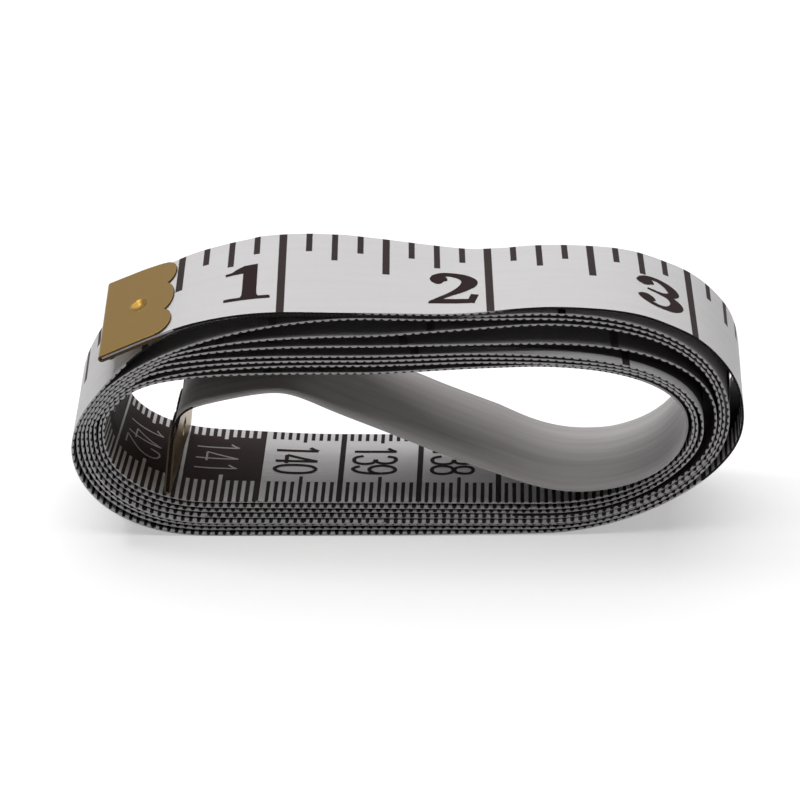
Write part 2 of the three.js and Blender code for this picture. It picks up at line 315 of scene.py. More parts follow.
def marks(tree, position, half_width, softness):
    """Mask of the marks at the whole numbers of a position."""
    return place_group(tree, ruled_marks, Position=position, Half_width=half_width, Softness=softness).outputs["Mark"]


thread_pitch = 0.5
streaks_along = 0.035
streaks_across = 0.9
woven_coat, coat_in, coat_out = new_group("woven_coat", ["Along", "Across"], ["Weave", "Streaks"])
threads = [
    calc(woven_coat, "SINE", calc(woven_coat, "MULTIPLY", coat_in.outputs[title], 2 * math.pi / thread_pitch))
    for title in ("Along", "Across")
]
weave = calc(woven_coat, "MULTIPLY_ADD", calc(woven_coat, "MULTIPLY", *threads), 0.5, 0.5)
woven_coat.links.new(weave, coat_out.inputs["Weave"])
streak_place = woven_coat.nodes.new("ShaderNodeCombineXYZ")
for title, axis, spread in (("Along", "X", streaks_along), ("Across", "Y", streaks_across)):
    stretched = calc(woven_coat, "MULTIPLY", coat_in.outputs[title], spread)
    woven_coat.links.new(stretched, streak_place.inputs[axis])
streaks = woven_coat.nodes.new("ShaderNodeTexNoise")
streaks.inputs["Scale"].default_value = 1
streaks.inputs["Detail"].default_value = 4
woven_coat.links.new(streak_place.outputs["Vector"], streaks.inputs["Vector"])
woven_coat.links.new(streaks.outputs["Fac"], coat_out.inputs["Streaks"])


def new_material(name):
    material = bpy.data.materials.new(name)
    material.use_nodes = True
    return material, material.node_tree, material.node_tree.nodes["Principled BSDF"]


def coated_cloth(name):
    """A new material with the coat's weave and streaks, and the strip's own millimetres from its UV map."""
    material, tree = new_material(name)[:2]
    flat = tree.nodes.new("ShaderNodeUVMap")
    flat.uv_map = "flat"
    parts = tree.nodes.new("ShaderNodeSeparateXYZ")
    tree.links.new(flat.outputs["UV"], parts.inputs["Vector"])
    along = calc(tree, "MULTIPLY", parts.outputs["X"], 1 / MM)
    across = calc(tree, "MULTIPLY", parts.outputs["Y"], 1 / MM)
    coat = place_group(tree, woven_coat, Along=along, Across=across)
    return material, tree, along, across, coat


def finish_print(material, coat, ink, unshaded=None, black=print_black, rubbed_and_shaded=None):
    """Colour, gloss and relief of a printed face, from masks of its ink, of where it has no painted shade between the
    turns, and of its rubbed parts with painted shade.
    """
    tree = material.node_tree
    shader = tree.nodes["Principled BSDF"]
    weave, streaks = coat.outputs["Weave"], coat.outputs["Streaks"]
    worn = calc(tree, "MULTIPLY", calc(tree, "POWER", streaks, 2.0), 0.55)
    vinyl = mix_colours(tree, worn, vinyl_white, vinyl_worn)
    # Rubbed streaks, and painted shade towards the inner end.
    if rubbed_and_shaded is not None:
        vinyl = mix_colours(tree, rubbed_and_shaded, vinyl, vinyl_rubbed_and_shaded)
    cover = calc(tree, "MULTIPLY", ink, calc(tree, "MULTIPLY_ADD", weave, -0.06, 1.0))
    colour = mix_colours(tree, cover, vinyl, black)
    # Painted shade between the turns, wherever the face is not marked unshaded.
    if unshaded is not None:
        colour = mix_colours(tree, unshaded, painted_gap_shade, colour)
    tree.links.new(colour, shader.inputs["Base Color"])
    rough = calc(tree, "MULTIPLY_ADD", streaks, 0.2, 0.42)
    tree.links.new(calc(tree, "MULTIPLY_ADD", ink, -0.06, rough), shader.inputs["Roughness"])
    relief = tree.nodes.new("ShaderNodeBump")
    relief.inputs["Strength"].default_value = 0.35
    relief.inputs["Distance"].default_value = 0.00003
    tree.links.new(calc(tree, "MULTIPLY_ADD", ink, 0.25, weave), relief.inputs["Height"])
    tree.links.new(relief.outputs["Normal"], shader.inputs["Normal"])
    tree.links.new(calc(tree, "MULTIPLY_ADD", ink, -0.33, 0.35), shader.inputs["Specular IOR Level"])


eighth_inch = inch / 8
mark_blur = 0.04
inch_line_half_width = 0.48
eighth_half_width = 0.385
half_inch_extra_width = 0.065
eighth_length = 3.7
quarter_extra_length = 1.75
half_inch_extra_length = 2.3
inch_print, tree, along, across, coat = coated_cloth("inch_print")
inches = calc(tree, "MULTIPLY", calc(tree, "SUBTRACT", along, scale_zero), 1 / inch)
inch_line = marks(tree, inches, inch_line_half_width / inch, mark_blur / inch)
at_half = marks(tree, calc(tree, "MULTIPLY", inches, 2), 0.1, 0.01)
at_quarter = marks(tree, calc(tree, "MULTIPLY", inches, 4), 0.2, 0.01)
mark_width = calc(tree, "MULTIPLY_ADD", at_half, half_inch_extra_width / eighth_inch, eighth_half_width / eighth_inch)
eighth = marks(tree, calc(tree, "MULTIPLY", inches, 8), mark_width, mark_blur / eighth_inch)
mark_length = calc(tree, "MULTIPLY_ADD", at_quarter, quarter_extra_length, eighth_length)
mark_length = calc(tree, "MULTIPLY_ADD", at_half, half_inch_extra_length, mark_length)
near_back = calc(tree, "GREATER_THAN", calc(tree, "ADD", across, mark_length), tape_width)
inch_ink = calc(tree, "MAXIMUM", inch_line, calc(tree, "MULTIPLY", eighth, near_back))

# Painted shade greys this face between the turns, wherever other turns come close to it. The outermost turn is
# unshaded, and so are the right bend of the next one and the front margin of one inner turn, which stands proud of
# the others there.
outer_turn_end = 212.0
next_bend_middle = 270.0
next_bend_half_length = 31.0
proud_margin_width = 1.5
proud_start = (958, 985)
proud_end = 1020.0
closeness = tree.nodes.new("ShaderNodeAmbientOcclusion")
closeness.samples = 8
closeness.inputs["Distance"].default_value = 0.004
open_face = ramp(tree, closeness.outputs["AO"], 0.4, 0.9)
outer_turn = calc(tree, "LESS_THAN", along, outer_turn_end)
next_bend = calc(tree, "COMPARE", along, next_bend_middle, next_bend_half_length)
in_margin = calc(tree, "LESS_THAN", across, proud_margin_width)
proud = calc(tree, "MULTIPLY", in_margin, calc(tree, "LESS_THAN", along, proud_end))
proud = calc(tree, "MULTIPLY", proud, ramp(tree, along, *proud_start))
unshaded = calc(tree, "MAXIMUM", calc(tree, "MAXIMUM", outer_turn, next_bend), proud)
finish_print(inch_print, coat, inch_ink, unshaded=calc(tree, "MAXIMUM", unshaded, open_face))

tick_half_width = 0.235
front_tick_length = 4.45
front_five_extra = 1.25
back_tick_length = 1.75
back_five_extra = 0.55
white_line_half_width = 0.21
black_line_extra = 0.14
centimetre_print, tree, along, across, coat = coated_cloth("centimetre_print")
slanted = calc(tree, "MULTIPLY_ADD", across, centimetre_slant, along)
millimetres = calc(tree, "SUBTRACT", slanted, scale_zero)
tens = calc(tree, "MULTIPLY", millimetres, 0.1)
hundreds = calc(tree, "MULTIPLY", millimetres, 0.01)
at_five = marks(tree, calc(tree, "MULTIPLY", millimetres, 0.2), 0.1, 0.01)
at_hundred = marks(tree, hundreds, 0.005, 0.0005)
light_ground = calc(tree, "MODULO", calc(tree, "FLOOR", hundreds), 2.0)
dark_ground = calc(tree, "SUBTRACT", 1.0, light_ground)
tick = marks(tree, millimetres, tick_half_width, 0.03)
in_front = calc(tree, "LESS_THAN", across, calc(tree, "MULTIPLY_ADD", at_five, front_five_extra, front_tick_length))
back_end = calc(tree, "MULTIPLY_ADD", at_five, -back_five_extra, tape_width - back_tick_length)
ticks = calc(tree, "MULTIPLY", tick, calc(tree, "MAXIMUM", in_front, calc(tree, "GREATER_THAN", across, back_end)))
line_width = calc(tree, "MULTIPLY_ADD", light_ground, black_line_extra / 10, white_line_half_width / 10)
line = marks(tree, tens, line_width, 0.004)
ruled = calc(tree, "MULTIPLY", calc(tree, "MAXIMUM", ticks, line), calc(tree, "SUBTRACT", 1.0, at_hundred))
reversed_ink = calc(tree, "ABSOLUTE", calc(tree, "SUBTRACT", ruled, dark_ground))

# The cut edge shows the face's ink as teeth. It is solid black along the dark grounds of the first turn, but for one
# bare stretch, and has no teeth under the outer clip.
clip_covers = 12.5
tooth_half_width = 0.31
light_tooth_less = 0.06
tooth_taper = 1.25
black_rim_end = (248, 240)
bare_rim_middle = 43.5
bare_rim_half_length = (6, 10)
on_rim = calc(tree, "LESS_THAN", across, 0.0)
face_ink = calc(tree, "MULTIPLY", reversed_ink, calc(tree, "SUBTRACT", 1.0, on_rim))
past_clip = calc(tree, "GREATER_THAN", millimetres, clip_covers)
tooth_place = calc(tree, "MULTIPLY_ADD", light_ground, 0.5, calc(tree, "ADD", millimetres, 0.5))
tooth_root = calc(tree, "MULTIPLY_ADD", light_ground, -light_tooth_less, tooth_half_width)
tooth_width = calc(tree, "MULTIPLY_ADD", across, tooth_taper, tooth_root)
tooth_there = calc(tree, "MULTIPLY", past_clip, calc(tree, "GREATER_THAN", tooth_width, 0.0))
teeth = calc(tree, "MULTIPLY", marks(tree, tooth_place, tooth_width, 0.05), tooth_there)
from_bare_rim = calc(tree, "ABSOLUTE", calc(tree, "SUBTRACT", millimetres, bare_rim_middle))
cut_through = calc(tree, "MULTIPLY", past_clip, ramp(tree, millimetres, *black_rim_end))
cut_through = calc(tree, "MULTIPLY", cut_through, ramp(tree, from_bare_rim, *bare_rim_half_length))
rim_ink = calc(tree, "MAXIMUM", teeth, calc(tree, "MULTIPLY", cut_through, dark_ground))
rim_ink = calc(tree, "MULTIPLY", on_rim, rim_ink)

# Past the scale's end the face is blank and rubbed grey, with painted shade that darkens it towards the inner end.
# The rim is dark in the inner clip, and one stretch of the face is painted dark as shade where it lines the gap
# between the turns on the right.
dark_end_length = 13.0
gap_middle = 838.0
gap_half_length = 24.0
face_middle = 8.1
face_half_width = 7.9
painted_shade_rise = (1500, 1565)
in_scale = calc(tree, "LESS_THAN", millimetres, centimetre_scale_end)
scale_ink = calc(tree, "MULTIPLY", calc(tree, "MAXIMUM", face_ink, rim_ink), in_scale)
in_clip = calc(tree, "GREATER_THAN", millimetres, tail_end_printed - dark_end_length)
# Painted shade: the face is painted dark along this stretch, where it lines the gap between the turns on the right.
painted_gap_dark = calc(tree, "COMPARE", millimetres, gap_middle, gap_half_length)
on_face = calc(tree, "COMPARE", across, face_middle, face_half_width)
dark_parts = calc(tree, "MAXIMUM", calc(tree, "MULTIPLY", on_rim, in_clip), calc(tree, "MULTIPLY", painted_gap_dark, on_face))
streak_contrast = ramp(tree, coat.outputs["Streaks"], 0.36, 0.64, curve="LINEAR")
# Painted shade: darker grey rising towards the inner end of the tail, over a faint grey tint and the rubbed streaks.
tint_and_painted_shade = calc(tree, "MULTIPLY_ADD", ramp(tree, millimetres, *painted_shade_rise), 0.4, 0.06)
rubbed_and_shaded = calc(tree, "MULTIPLY_ADD", streak_contrast, 0.2, tint_and_painted_shade)
rubbed_and_shaded = calc(tree, "MULTIPLY", rubbed_and_shaded, calc(tree, "GREATER_THAN", millimetres, centimetre_scale_end))
black = mix_colours(tree, calc(tree, "MAXIMUM", light_ground, on_rim), print_black, print_deep_black)
centimetre_ink = calc(tree, "MAXIMUM", scale_ink, dark_parts)
finish_print(centimetre_print, coat, centimetre_ink, black=black, rubbed_and_shaded=rubbed_and_shaded)


# The wound turns: the greater part of the strip, from where the loose outer end leaves the coil on the right to
# the trough where the inner end starts across the hollow. It is printed cloth, cut flat and wound into place.
punch_from_end = 4.6
dent_radius = 1.2
dent_depth = 0.36
coil_step = 1.0
free_end_step = 0.4
longest_free_end = 50
crosswise_steps = 8
least_crease = 0.7


def make_object(name, shape, *materials):
    """Makes an object of a bmesh, and frees it."""
    mesh = bpy.data.meshes.new(name)
    shape.to_mesh(mesh)
    shape.free()
    for material in materials:
        mesh.materials.append(material)
    made = bpy.data.objects.new(name, mesh)
    bpy.context.collection.objects.link(made)
    return made


def wind(shape):
    """Moves a bmesh from the flat strip to its place on the coil."""
    for vertex, place in zip(shape.verts, wound([vertex.co for vertex in shape.verts])):
        vertex.co = place


def tape_strip(name, start, stop):
    """A length of the printed strip as an object, cut flat, dented where a clip bites it, and wound to its place."""
    strip = bmesh.new()
    length = stop - start
    flat_size = Matrix.Diagonal((length / 2, tape_width / 2, 1, 1))
    flat_place = Matrix.Translation((start + length / 2, tape_width / 2, -tape_thickness / 2))
    steps = round(length / (free_end_step if length < longest_free_end else coil_step))
    bmesh.ops.create_grid(strip, x_segments=steps, y_segments=crosswise_steps, size=1, matrix=flat_place @ flat_size)
    lifted = bmesh.ops.extrude_face_region(strip, geom=strip.faces[:], use_keep_orig=True)["geom"]
    top = [part for part in lifted if isinstance(part, bmesh.types.BMVert)]
    bmesh.ops.translate(strip, verts=top, vec=(0, 0, tape_thickness))
    bmesh.ops.recalc_face_normals(strip, faces=strip.faces[:])
    strip.faces.sort(key=lambda face: face.calc_center_median().dot((1000, 10, 1)))  # else the rim's order varies
    flat_map = strip.loops.layers.uv.new("flat")
    for face in strip.faces:
        face.smooth = True
        face.material_index = 0 if face.normal.z > 0.5 else 1
        for corner in face.loops:
            along_it, across_it, above_it = corner.vert.co
            up_the_rim = above_it + tape_thickness / 2
            if face.normal.y < -0.5:
                across_it = -up_the_rim
            elif face.normal.y > 0.5:
                across_it = tape_width + up_the_rim
            corner[flat_map].uv = (printed_at(along_it) * MM, across_it * MM)
    for border in strip.edges:
        border.smooth = border.calc_face_angle(0) < least_crease
    for vertex in top:
        from_end = min(vertex.co.x, tape_length - vertex.co.x)
        if math.hypot(from_end - punch_from_end, vertex.co.y - tape_width / 2) < dent_radius:
            vertex.co.z -= dent_depth
    wind(strip)
    piece = make_object(name, strip, inch_print, centimetre_print)
    return piece


def along_where(x, after, before):
    """How far along the tape its front edge passes x, between two distances."""
    span = np.flatnonzero((reach > after) & (reach < before))
    return float(reach[span[np.argmin(np.abs(edge[span, 0] - x))]])


lead_middle_meets_end = along_where(-5.5, 10, 60)
lead_root_meets_middle = along_where(20.5, 40, 80)
coil_meets_lead = 92.0
tail_meets_coil = along_where(25.0, tape_length - 90, tape_length - 30)
tail_middle = along_where(-8.0, tape_length - 60, tape_length - 5)
wound_tape = tape_strip("wound_tape", coil_meets_lead, tail_meets_coil)
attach(wound_tape, "coil")
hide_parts("tape_coil")


# The loose outer end: the first ninety millimetres of the strip, which lies on the coil in a shallow wave and
# lifts off it. It is one length with the coil, parted here only in the middle of each stretch between two bends.
lead_end_tape = tape_strip("lead_end_tape", 0, lead_middle_meets_end)
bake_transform(lead_end_tape)
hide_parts("tape_lead_end")
lead_middle_tape = tape_strip("lead_middle_tape", lead_middle_meets_end, lead_root_meets_middle)
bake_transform(lead_middle_tape)
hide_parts("tape_lead_middle")
lead_root_tape = tape_strip("lead_root_tape", lead_root_meets_middle, coil_meets_lead)
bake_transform(lead_root_tape)
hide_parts("tape_lead_root")


# The inner end of the strip: blank past the end of its scale. It springs off the innermost turn, rises across the
# hollow and hangs down over its last bend.
tail_tape = tape_strip("tail_tape", tail_meets_coil, tail_middle)
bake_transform(tail_tape)
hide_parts("tape_tail")
tail_end_tape = tape_strip("tail_end_tape", tail_middle, tape_length)
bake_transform(tail_end_tape)
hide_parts("tape_tail_end")


# The inch numbers: heavy slab-serif figures printed in the tape's ink on the outer face, to the left of the line
# that each one names and standing on the front edge's side. They are thin skins of ink.
ink_height = 0.035
inch_figure_height = 7.25
inch_figure_foot = 2.7
inch_figure_feet = {1: 2.95, 2: 2.25, 3: 3.2, 8: 3.9}
inch_figure_gap = 1.3
stroke_steps = 6
least_half_stroke = 0.008
inch_figures = {
    "1": (0.765, [
        [(0.42, 0.0, 0.2), (0.42, 0.07, 0.165), (0.42, 0.16, 0.125), (0.42, 0.5, 0.12), (0.42, 1.0, 0.12)],
        [(0, 0.04, 0.03), (0.06, 0.04, 0.042), (0.4, 0.04, 0.042), (0.71, 0.04, 0.042), (0.765, 0.045, 0.03)],
        [(0.0, 0.795, 0.035), (0.12, 0.815, 0.042), (0.22, 0.855, 0.08), (0.34, 0.895, 0.105)],
    ]),
    "2": (0.86, [
        [(0.03, 0.79, 0.01), (0.07, 0.79, 0.1), (0.172, 0.79, 0.155), (0.27, 0.785, 0.1), (0.33, 0.755, 0.01)],
        [(0.09, 0.85, 0.05), (0.22, 0.93, 0.06), (0.415, 0.945, 0.062), (0.62, 0.86, 0.1), (0.705, 0.69, 0.145),
         (0.59, 0.5, 0.1), (0.385, 0.32, 0.055), (0.2, 0.18, 0.045), (0.05, 0.06, 0.035)],
        [(0.005, 0.02, 0.012), (0.06, 0.06, 0.05), (0.16, 0.087, 0.07), (0.4, 0.087, 0.07), (0.72, 0.087, 0.07)],
        [(0.715, 0.02, 0.065), (0.745, 0.14, 0.068), (0.79, 0.298, 0.07)],
    ]),
    "3": (0.83, [
        [(0.0, 0.8, 0.01), (0.05, 0.8, 0.09), (0.15, 0.8, 0.135), (0.25, 0.785, 0.09), (0.31, 0.755, 0.01)],
        [(0.07, 0.86, 0.05), (0.2, 0.93, 0.058), (0.4, 0.935, 0.062), (0.58, 0.83, 0.1), (0.66, 0.69, 0.115),
         (0.6, 0.57, 0.07), (0.43, 0.515, 0.045), (0.18, 0.56, 0.03)],
        [(0.4, 0.51, 0.045), (0.58, 0.47, 0.075), (0.7, 0.3, 0.125), (0.6, 0.12, 0.095), (0.42, 0.055, 0.052),
         (0.25, 0.09, 0.055), (0.1, 0.2, 0.06)],
        [(0.0, 0.3, 0.01), (0.05, 0.285, 0.08), (0.14, 0.255, 0.115), (0.24, 0.22, 0.08), (0.3, 0.195, 0.01)],
    ]),
    "4": (0.82, [
        [(0.58, 0.03, 0.127), (0.58, 0.35, 0.127), (0.58, 0.7, 0.127), (0.58, 1.0, 0.127)],
        [(0.5, 0.99, 0.03), (0.3, 0.68, 0.034), (0.02, 0.27, 0.034)],
        [(0.0, 0.27, 0.036), (0.4, 0.27, 0.036), (0.82, 0.27, 0.036)],
        [(0.36, 0.035, 0.034), (0.58, 0.036, 0.038), (0.8, 0.035, 0.034)],
    ]),
    "5": (0.78, [
        [(0.14, 0.98, 0.012), (0.3, 0.91, 0.075), (0.5, 0.9, 0.075), (0.68, 0.97, 0.03)],
        [(0.15, 0.96, 0.03), (0.14, 0.75, 0.03), (0.12, 0.52, 0.03)],
        [(0.12, 0.53, 0.02), (0.34, 0.63, 0.04), (0.56, 0.56, 0.1), (0.64, 0.33, 0.14), (0.54, 0.1, 0.09),
         (0.34, 0.025, 0.03), (0.14, 0.07, 0.04), (0.1, 0.16, 0.075), (0.16, 0.25, 0.095), (0.1, 0.33, 0.02)],
    ]),
    "6": (0.8, [
        [(0.7, 0.76, 0.01), (0.6, 0.75, 0.075), (0.63, 0.85, 0.075), (0.56, 0.94, 0.035), (0.4, 0.975, 0.03),
         (0.22, 0.84, 0.09), (0.15, 0.5, 0.14), (0.22, 0.14, 0.09), (0.4, 0.025, 0.03), (0.58, 0.12, 0.08),
         (0.65, 0.31, 0.13), (0.57, 0.51, 0.08), (0.4, 0.59, 0.03), (0.24, 0.5, 0.03)],
    ]),
    "7": (0.8, [
        [(0.03, 0.68, 0.012), (0.08, 0.83, 0.05), (0.2, 0.91, 0.085), (0.42, 0.88, 0.085), (0.6, 0.89, 0.06),
         (0.76, 0.98, 0.02)],
        [(0.74, 0.96, 0.03), (0.56, 0.66, 0.05), (0.4, 0.36, 0.1), (0.36, 0.02, 0.14)],
    ]),
    "8": (0.8, [
        [(0.4, 0.975, 0.028), (0.22, 0.91, 0.07), (0.18, 0.76, 0.1), (0.3, 0.59, 0.1), (0.52, 0.45, 0.1),
         (0.64, 0.25, 0.11), (0.56, 0.09, 0.07), (0.4, 0.025, 0.028), (0.22, 0.09, 0.07), (0.14, 0.25, 0.09),
         (0.24, 0.43, 0.05), (0.44, 0.57, 0.04), (0.6, 0.76, 0.07), (0.55, 0.91, 0.05), (0.4, 0.975, 0.028)],
    ]),
}
inch_figures["9"] = (0.8, [[(0.8 - x, 1 - y, half) for x, y, half in inch_figures["6"][1][0]]])


def ink_stroke(ink, stroke, place_on_flat):
    """One stroke of a figure, a skin that follows a smooth line through points given as x, y and half its width."""
    points = [np.array(point) for point in stroke]
    steps = stroke_steps * (len(points) - 1)
    made = bmesh.ops.create_grid(ink, x_segments=steps, y_segments=2, size=1)["verts"]
    for vertex in made:
        where = (vertex.co.x + 1) / 2 * (len(points) - 1)
        side = vertex.co.y
        near = min(int(where + 1e-6), len(points) - 2)
        part = where - near
        before, first, second, after = (points[min(max(near + k, 0), len(points) - 1)] for k in (-1, 0, 1, 2))
        slope_first, slope_second = (second - before) / 2, (after - first) / 2
        cubic = 2 * (first - second) + slope_first + slope_second
        square = 3 * (second - first) - 2 * slope_first - slope_second
        spot = first + part * (slope_first + part * (square + part * cubic))
        ahead = slope_first + part * (2 * square + part * 3 * cubic)
        ahead = ahead[:2] / max(math.hypot(*ahead[:2]), 1e-9)
        half = max(spot[2], least_half_stroke)
        vertex.co = place_on_flat(spot[0] - ahead[1] * side * half, spot[1] + ahead[0] * side * half)


def ink_skin(name, ink, colour):
    """Winds flat strokes onto the tape with their printed side out, as an object."""
    bmesh.ops.remove_doubles(ink, verts=ink.verts[:], dist=1e-6)
    wind(ink)
    ink.normal_update()
    for face in ink.faces:
        face.smooth = True
    skin = make_object(name, ink, colour)
    return skin


mottle, mottle_in, mottle_out = new_group("mottle", ["Scale", "Detail"], ["Mask"])
mottle_place = mottle.nodes.new("ShaderNodeTexCoord")
mottle_noise = mottle.nodes.new("ShaderNodeTexNoise")
mottle.links.new(mottle_place.outputs["Object"], mottle_noise.inputs["Vector"])
for title in ("Scale", "Detail"):
    mottle.links.new(mottle_in.outputs[title], mottle_noise.inputs[title])
mottle.links.new(mottle_noise.outputs["Fac"], mottle_out.inputs["Mask"])


def printing_ink(name, colour, shade, shine):
    material, tree, shader = new_material(name)
    patches = place_group(tree, mottle, Scale=900, Detail=3).outputs["Mask"]
    tree.links.new(mix_colours(tree, patches, colour, shade), shader.inputs["Base Color"])
    tree.links.new(calc(tree, "MULTIPLY_ADD", patches, 0.2, 0.36), shader.inputs["Roughness"])
    shader.inputs["Specular IOR Level"].default_value = shine
    return material


black_ink = printing_ink("black_ink", (0.027, 0.016, 0.017, 1), (0.034, 0.021, 0.022, 1), 0.02)


def inch_numbers(name, numbers):
    ink = bmesh.new()
    for number in numbers:
        figure_width, strokes = inch_figures[str(number)]
        right = scale_zero + number * inch - inch_figure_gap
        left = right - figure_width * inch_figure_height
        foot = inch_figure_feet.get(number, inch_figure_foot)
        for stroke in strokes:
            ink_stroke(ink, stroke, lambda x, y: (
                on_route(left + x * inch_figure_height), foot + y * inch_figure_height,
                tape_thickness / 2 + ink_height))
    return ink_skin(name, ink, black_ink)


lead_end_number = inch_numbers("lead_end_number", [1])
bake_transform(lead_end_number)
lead_middle_number = inch_numbers("lead_middle_number", [2])
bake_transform(lead_middle_number)
lead_root_number = inch_numbers("lead_root_number", [3])
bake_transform(lead_root_number)
coil_inch_numbers = inch_numbers("coil_inch_numbers", [4, 5, 6, 7, 8, 9])
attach(coil_inch_numbers, "coil")


# The centimetre numbers: thin plain figures printed on the inner face, each in the cell before its line, with
# their heads towards the smaller numbers. They are white where the ground is black.
centimetre_figure_height = 5.35
centimetre_figure_width = 1.9
centimetre_figure_pitch = 2.3
centimetre_figure_back = 12.9
centimetre_figure_gap = 1.5
black_half_stroke = 0.26
white_half_stroke = 0.125
centimetre_figures = {
    "0": [[(0.5, 1), (0.12, 0.85), (0, 0.5), (0.12, 0.15), (0.5, 0), (0.88, 0.15), (1, 0.5), (0.88, 0.85), (0.5, 1)]],
    "1": [[(0.25, 0.8), (0.5, 0.9), (0.66, 1)], [(0.66, 1), (0.66, 0.5), (0.66, 0)]],
    "2": [[(0.05, 0.74), (0.2, 0.95), (0.5, 1), (0.85, 0.92), (0.97, 0.72), (0.8, 0.48), (0.4, 0.24), (0, 0)],
          [(0, 0), (0.5, 0), (1, 0)]],
    "3": [[(0.05, 0.8), (0.2, 0.96), (0.5, 1), (0.82, 0.92), (0.93, 0.74), (0.8, 0.57), (0.45, 0.52)],
          [(0.45, 0.52), (0.85, 0.46), (1, 0.26), (0.84, 0.06), (0.5, 0), (0.18, 0.05), (0, 0.22)]],
    "4": [[(0.74, 0), (0.74, 0.5), (0.74, 1)], [(0.74, 1), (0.37, 0.62), (0, 0.26)],
          [(0, 0.26), (0.5, 0.26), (1, 0.26)]],
    "5": [[(0.92, 1), (0.5, 1), (0.14, 1)], [(0.14, 1), (0.1, 0.76), (0.05, 0.5)],
          [(0.05, 0.5), (0.45, 0.63), (0.85, 0.54), (1, 0.32), (0.84, 0.07), (0.5, 0), (0.16, 0.05), (0, 0.2)]],
    "6": [[(0.92, 0.85), (0.75, 0.97), (0.5, 1), (0.15, 0.82), (0.02, 0.42), (0.15, 0.1), (0.5, 0), (0.85, 0.09),
           (1, 0.31), (0.85, 0.54), (0.5, 0.62), (0.15, 0.52), (0.03, 0.36)]],
    "7": [[(0, 1), (0.5, 1), (1, 1)], [(1, 1), (0.6, 0.6), (0.35, 0)]],
    "8": [[(0.5, 1), (0.15, 0.92), (0.06, 0.76), (0.2, 0.59), (0.5, 0.53), (0.86, 0.44), (1, 0.25), (0.86, 0.06),
           (0.5, 0), (0.14, 0.06), (0, 0.25), (0.14, 0.44), (0.5, 0.53), (0.8, 0.59), (0.94, 0.76), (0.85, 0.92),
           (0.5, 1)]],
}
centimetre_figures["9"] = [[(1 - x, 1 - y) for x, y in centimetre_figures["6"][0]]]
white_ink = printing_ink("white_ink", (0.46, 0.44, 0.44, 1), (0.34, 0.32, 0.32, 1), 0.2)


def centimetre_numbers(name, numbers, colour, half_stroke):
    ink = bmesh.new()
    for number in numbers:
        foot = scale_zero + number * 10 - centimetre_figure_gap
        for position, figure in enumerate(str(number)):
            back = centimetre_figure_back - position * centimetre_figure_pitch

            def place(x, y):
                across_it = back - x
                printed = foot - y - centimetre_slant * across_it
                return on_route(printed), across_it, -tape_thickness / 2 - ink_height

            for stroke in centimetre_figures[figure]:
                ink_stroke(ink, [
                    (x * centimetre_figure_width, y * centimetre_figure_height, half_stroke) for x, y in stroke
                ], place)
    return ink_skin(name, ink, colour)


black_centimetres = centimetre_numbers("black_centimetres", range(131, 141), black_ink, black_half_stroke)
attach(black_centimetres, "coil")
white_centimetres = centimetre_numbers("white_centimetres", range(141, 151), white_ink, white_half_stroke)
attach(white_centimetres, "coil")


# The end clips: a strip of thin sheet brass folded over each end of the tape and pressed flat on both faces. Its
# free edges are stamped in three lobes, and a round punch mark in the middle of the outer leaf bites the cloth.
clip_leaf = 9.2
clip_sheet = 0.25
clip_width = 16.3
clip_side_straight = 7.0
clip_tip_in = 2.7
clip_cusp_in = 5.15
clip_cusp_depth = 1.4
clip_punch_radius = 1.15
clip_punch_depth = 0.4
clip_punch_reach = 1.35
clip_punch_rim_height = 0.06
clip_punch_rim_at = 1.1
clip_punch_rim_spread = 0.16
clip_play = 0.06
clip_edge_wear = 0.05
clip_grid = (96, 64)


def clip_edge(from_side):
    """Length of a leaf at a distance in from the nearer side edge: two round outer lobes and one in the middle."""
    if from_side < clip_tip_in:
        round_off = math.sqrt(1 - (1 - from_side / clip_tip_in) ** 2)
        return clip_side_straight + (clip_leaf - clip_side_straight) * round_off
    if from_side < clip_cusp_in:
        out_of_middle = (from_side - clip_tip_in) / (clip_cusp_in - clip_tip_in)
    else:
        out_of_middle = (clip_width / 2 - from_side) / (clip_width / 2 - clip_cusp_in)
    return clip_leaf - clip_cusp_depth * (1 - math.sqrt(max(0, 1 - out_of_middle ** 2)))


def end_clip(name, place_along, material, cut_edge):
    """A clip as an object, folded from a flat sheet round the strip's end and wound to its place with it."""
    sheet = bmesh.new()
    bmesh.ops.create_grid(sheet, x_segments=clip_grid[0], y_segments=clip_grid[1], size=1)
    bend = tape_thickness / 2 + clip_sheet / 2 + clip_play
    quarter_turn = bend * math.pi / 2
    flat = []
    for vertex in sheet.verts:
        side = (vertex.co.y + 1) / 2 * clip_width
        run = abs(vertex.co.x) * (clip_edge(min(side, clip_width - side)) + quarter_turn)
        face = math.copysign(1, vertex.co.x)
        if run < quarter_turn:
            along_it, above_it = -bend * math.cos(run / bend), face * bend * math.sin(run / bend)
        else:
            along_it, above_it = run - quarter_turn, face * bend
        across_it = side - (clip_width - tape_width) / 2
        punch = math.hypot(along_it - punch_from_end, across_it - tape_width / 2) / clip_punch_radius
        if face > 0 and punch < clip_punch_reach:
            rim = math.exp(-((punch - clip_punch_rim_at) / clip_punch_rim_spread) ** 2)
            above_it -= clip_punch_depth * max(0, 1 - punch ** 2) - clip_punch_rim_height * rim
        flat.append((place_along(along_it), across_it, above_it))
    for vertex, place in zip(sheet.verts, wound(flat)):
        vertex.co = place
    bmesh.ops.recalc_face_normals(sheet, faces=sheet.faces[:])
    for face in sheet.faces:
        face.smooth = True
    clip = make_object(name, sheet, material, cut_edge)
    thicken = clip.modifiers.new("sheet_thickness", "SOLIDIFY")
    thicken.thickness = clip_sheet * MM
    thicken.offset = 0
    thicken.material_offset_rim = 1
    soften = clip.modifiers.new("rubbed_edges", "BEVEL")
    soften.width = clip_edge_wear * MM
    soften.segments = 2
    soften.limit_method = "ANGLE"
    return clip


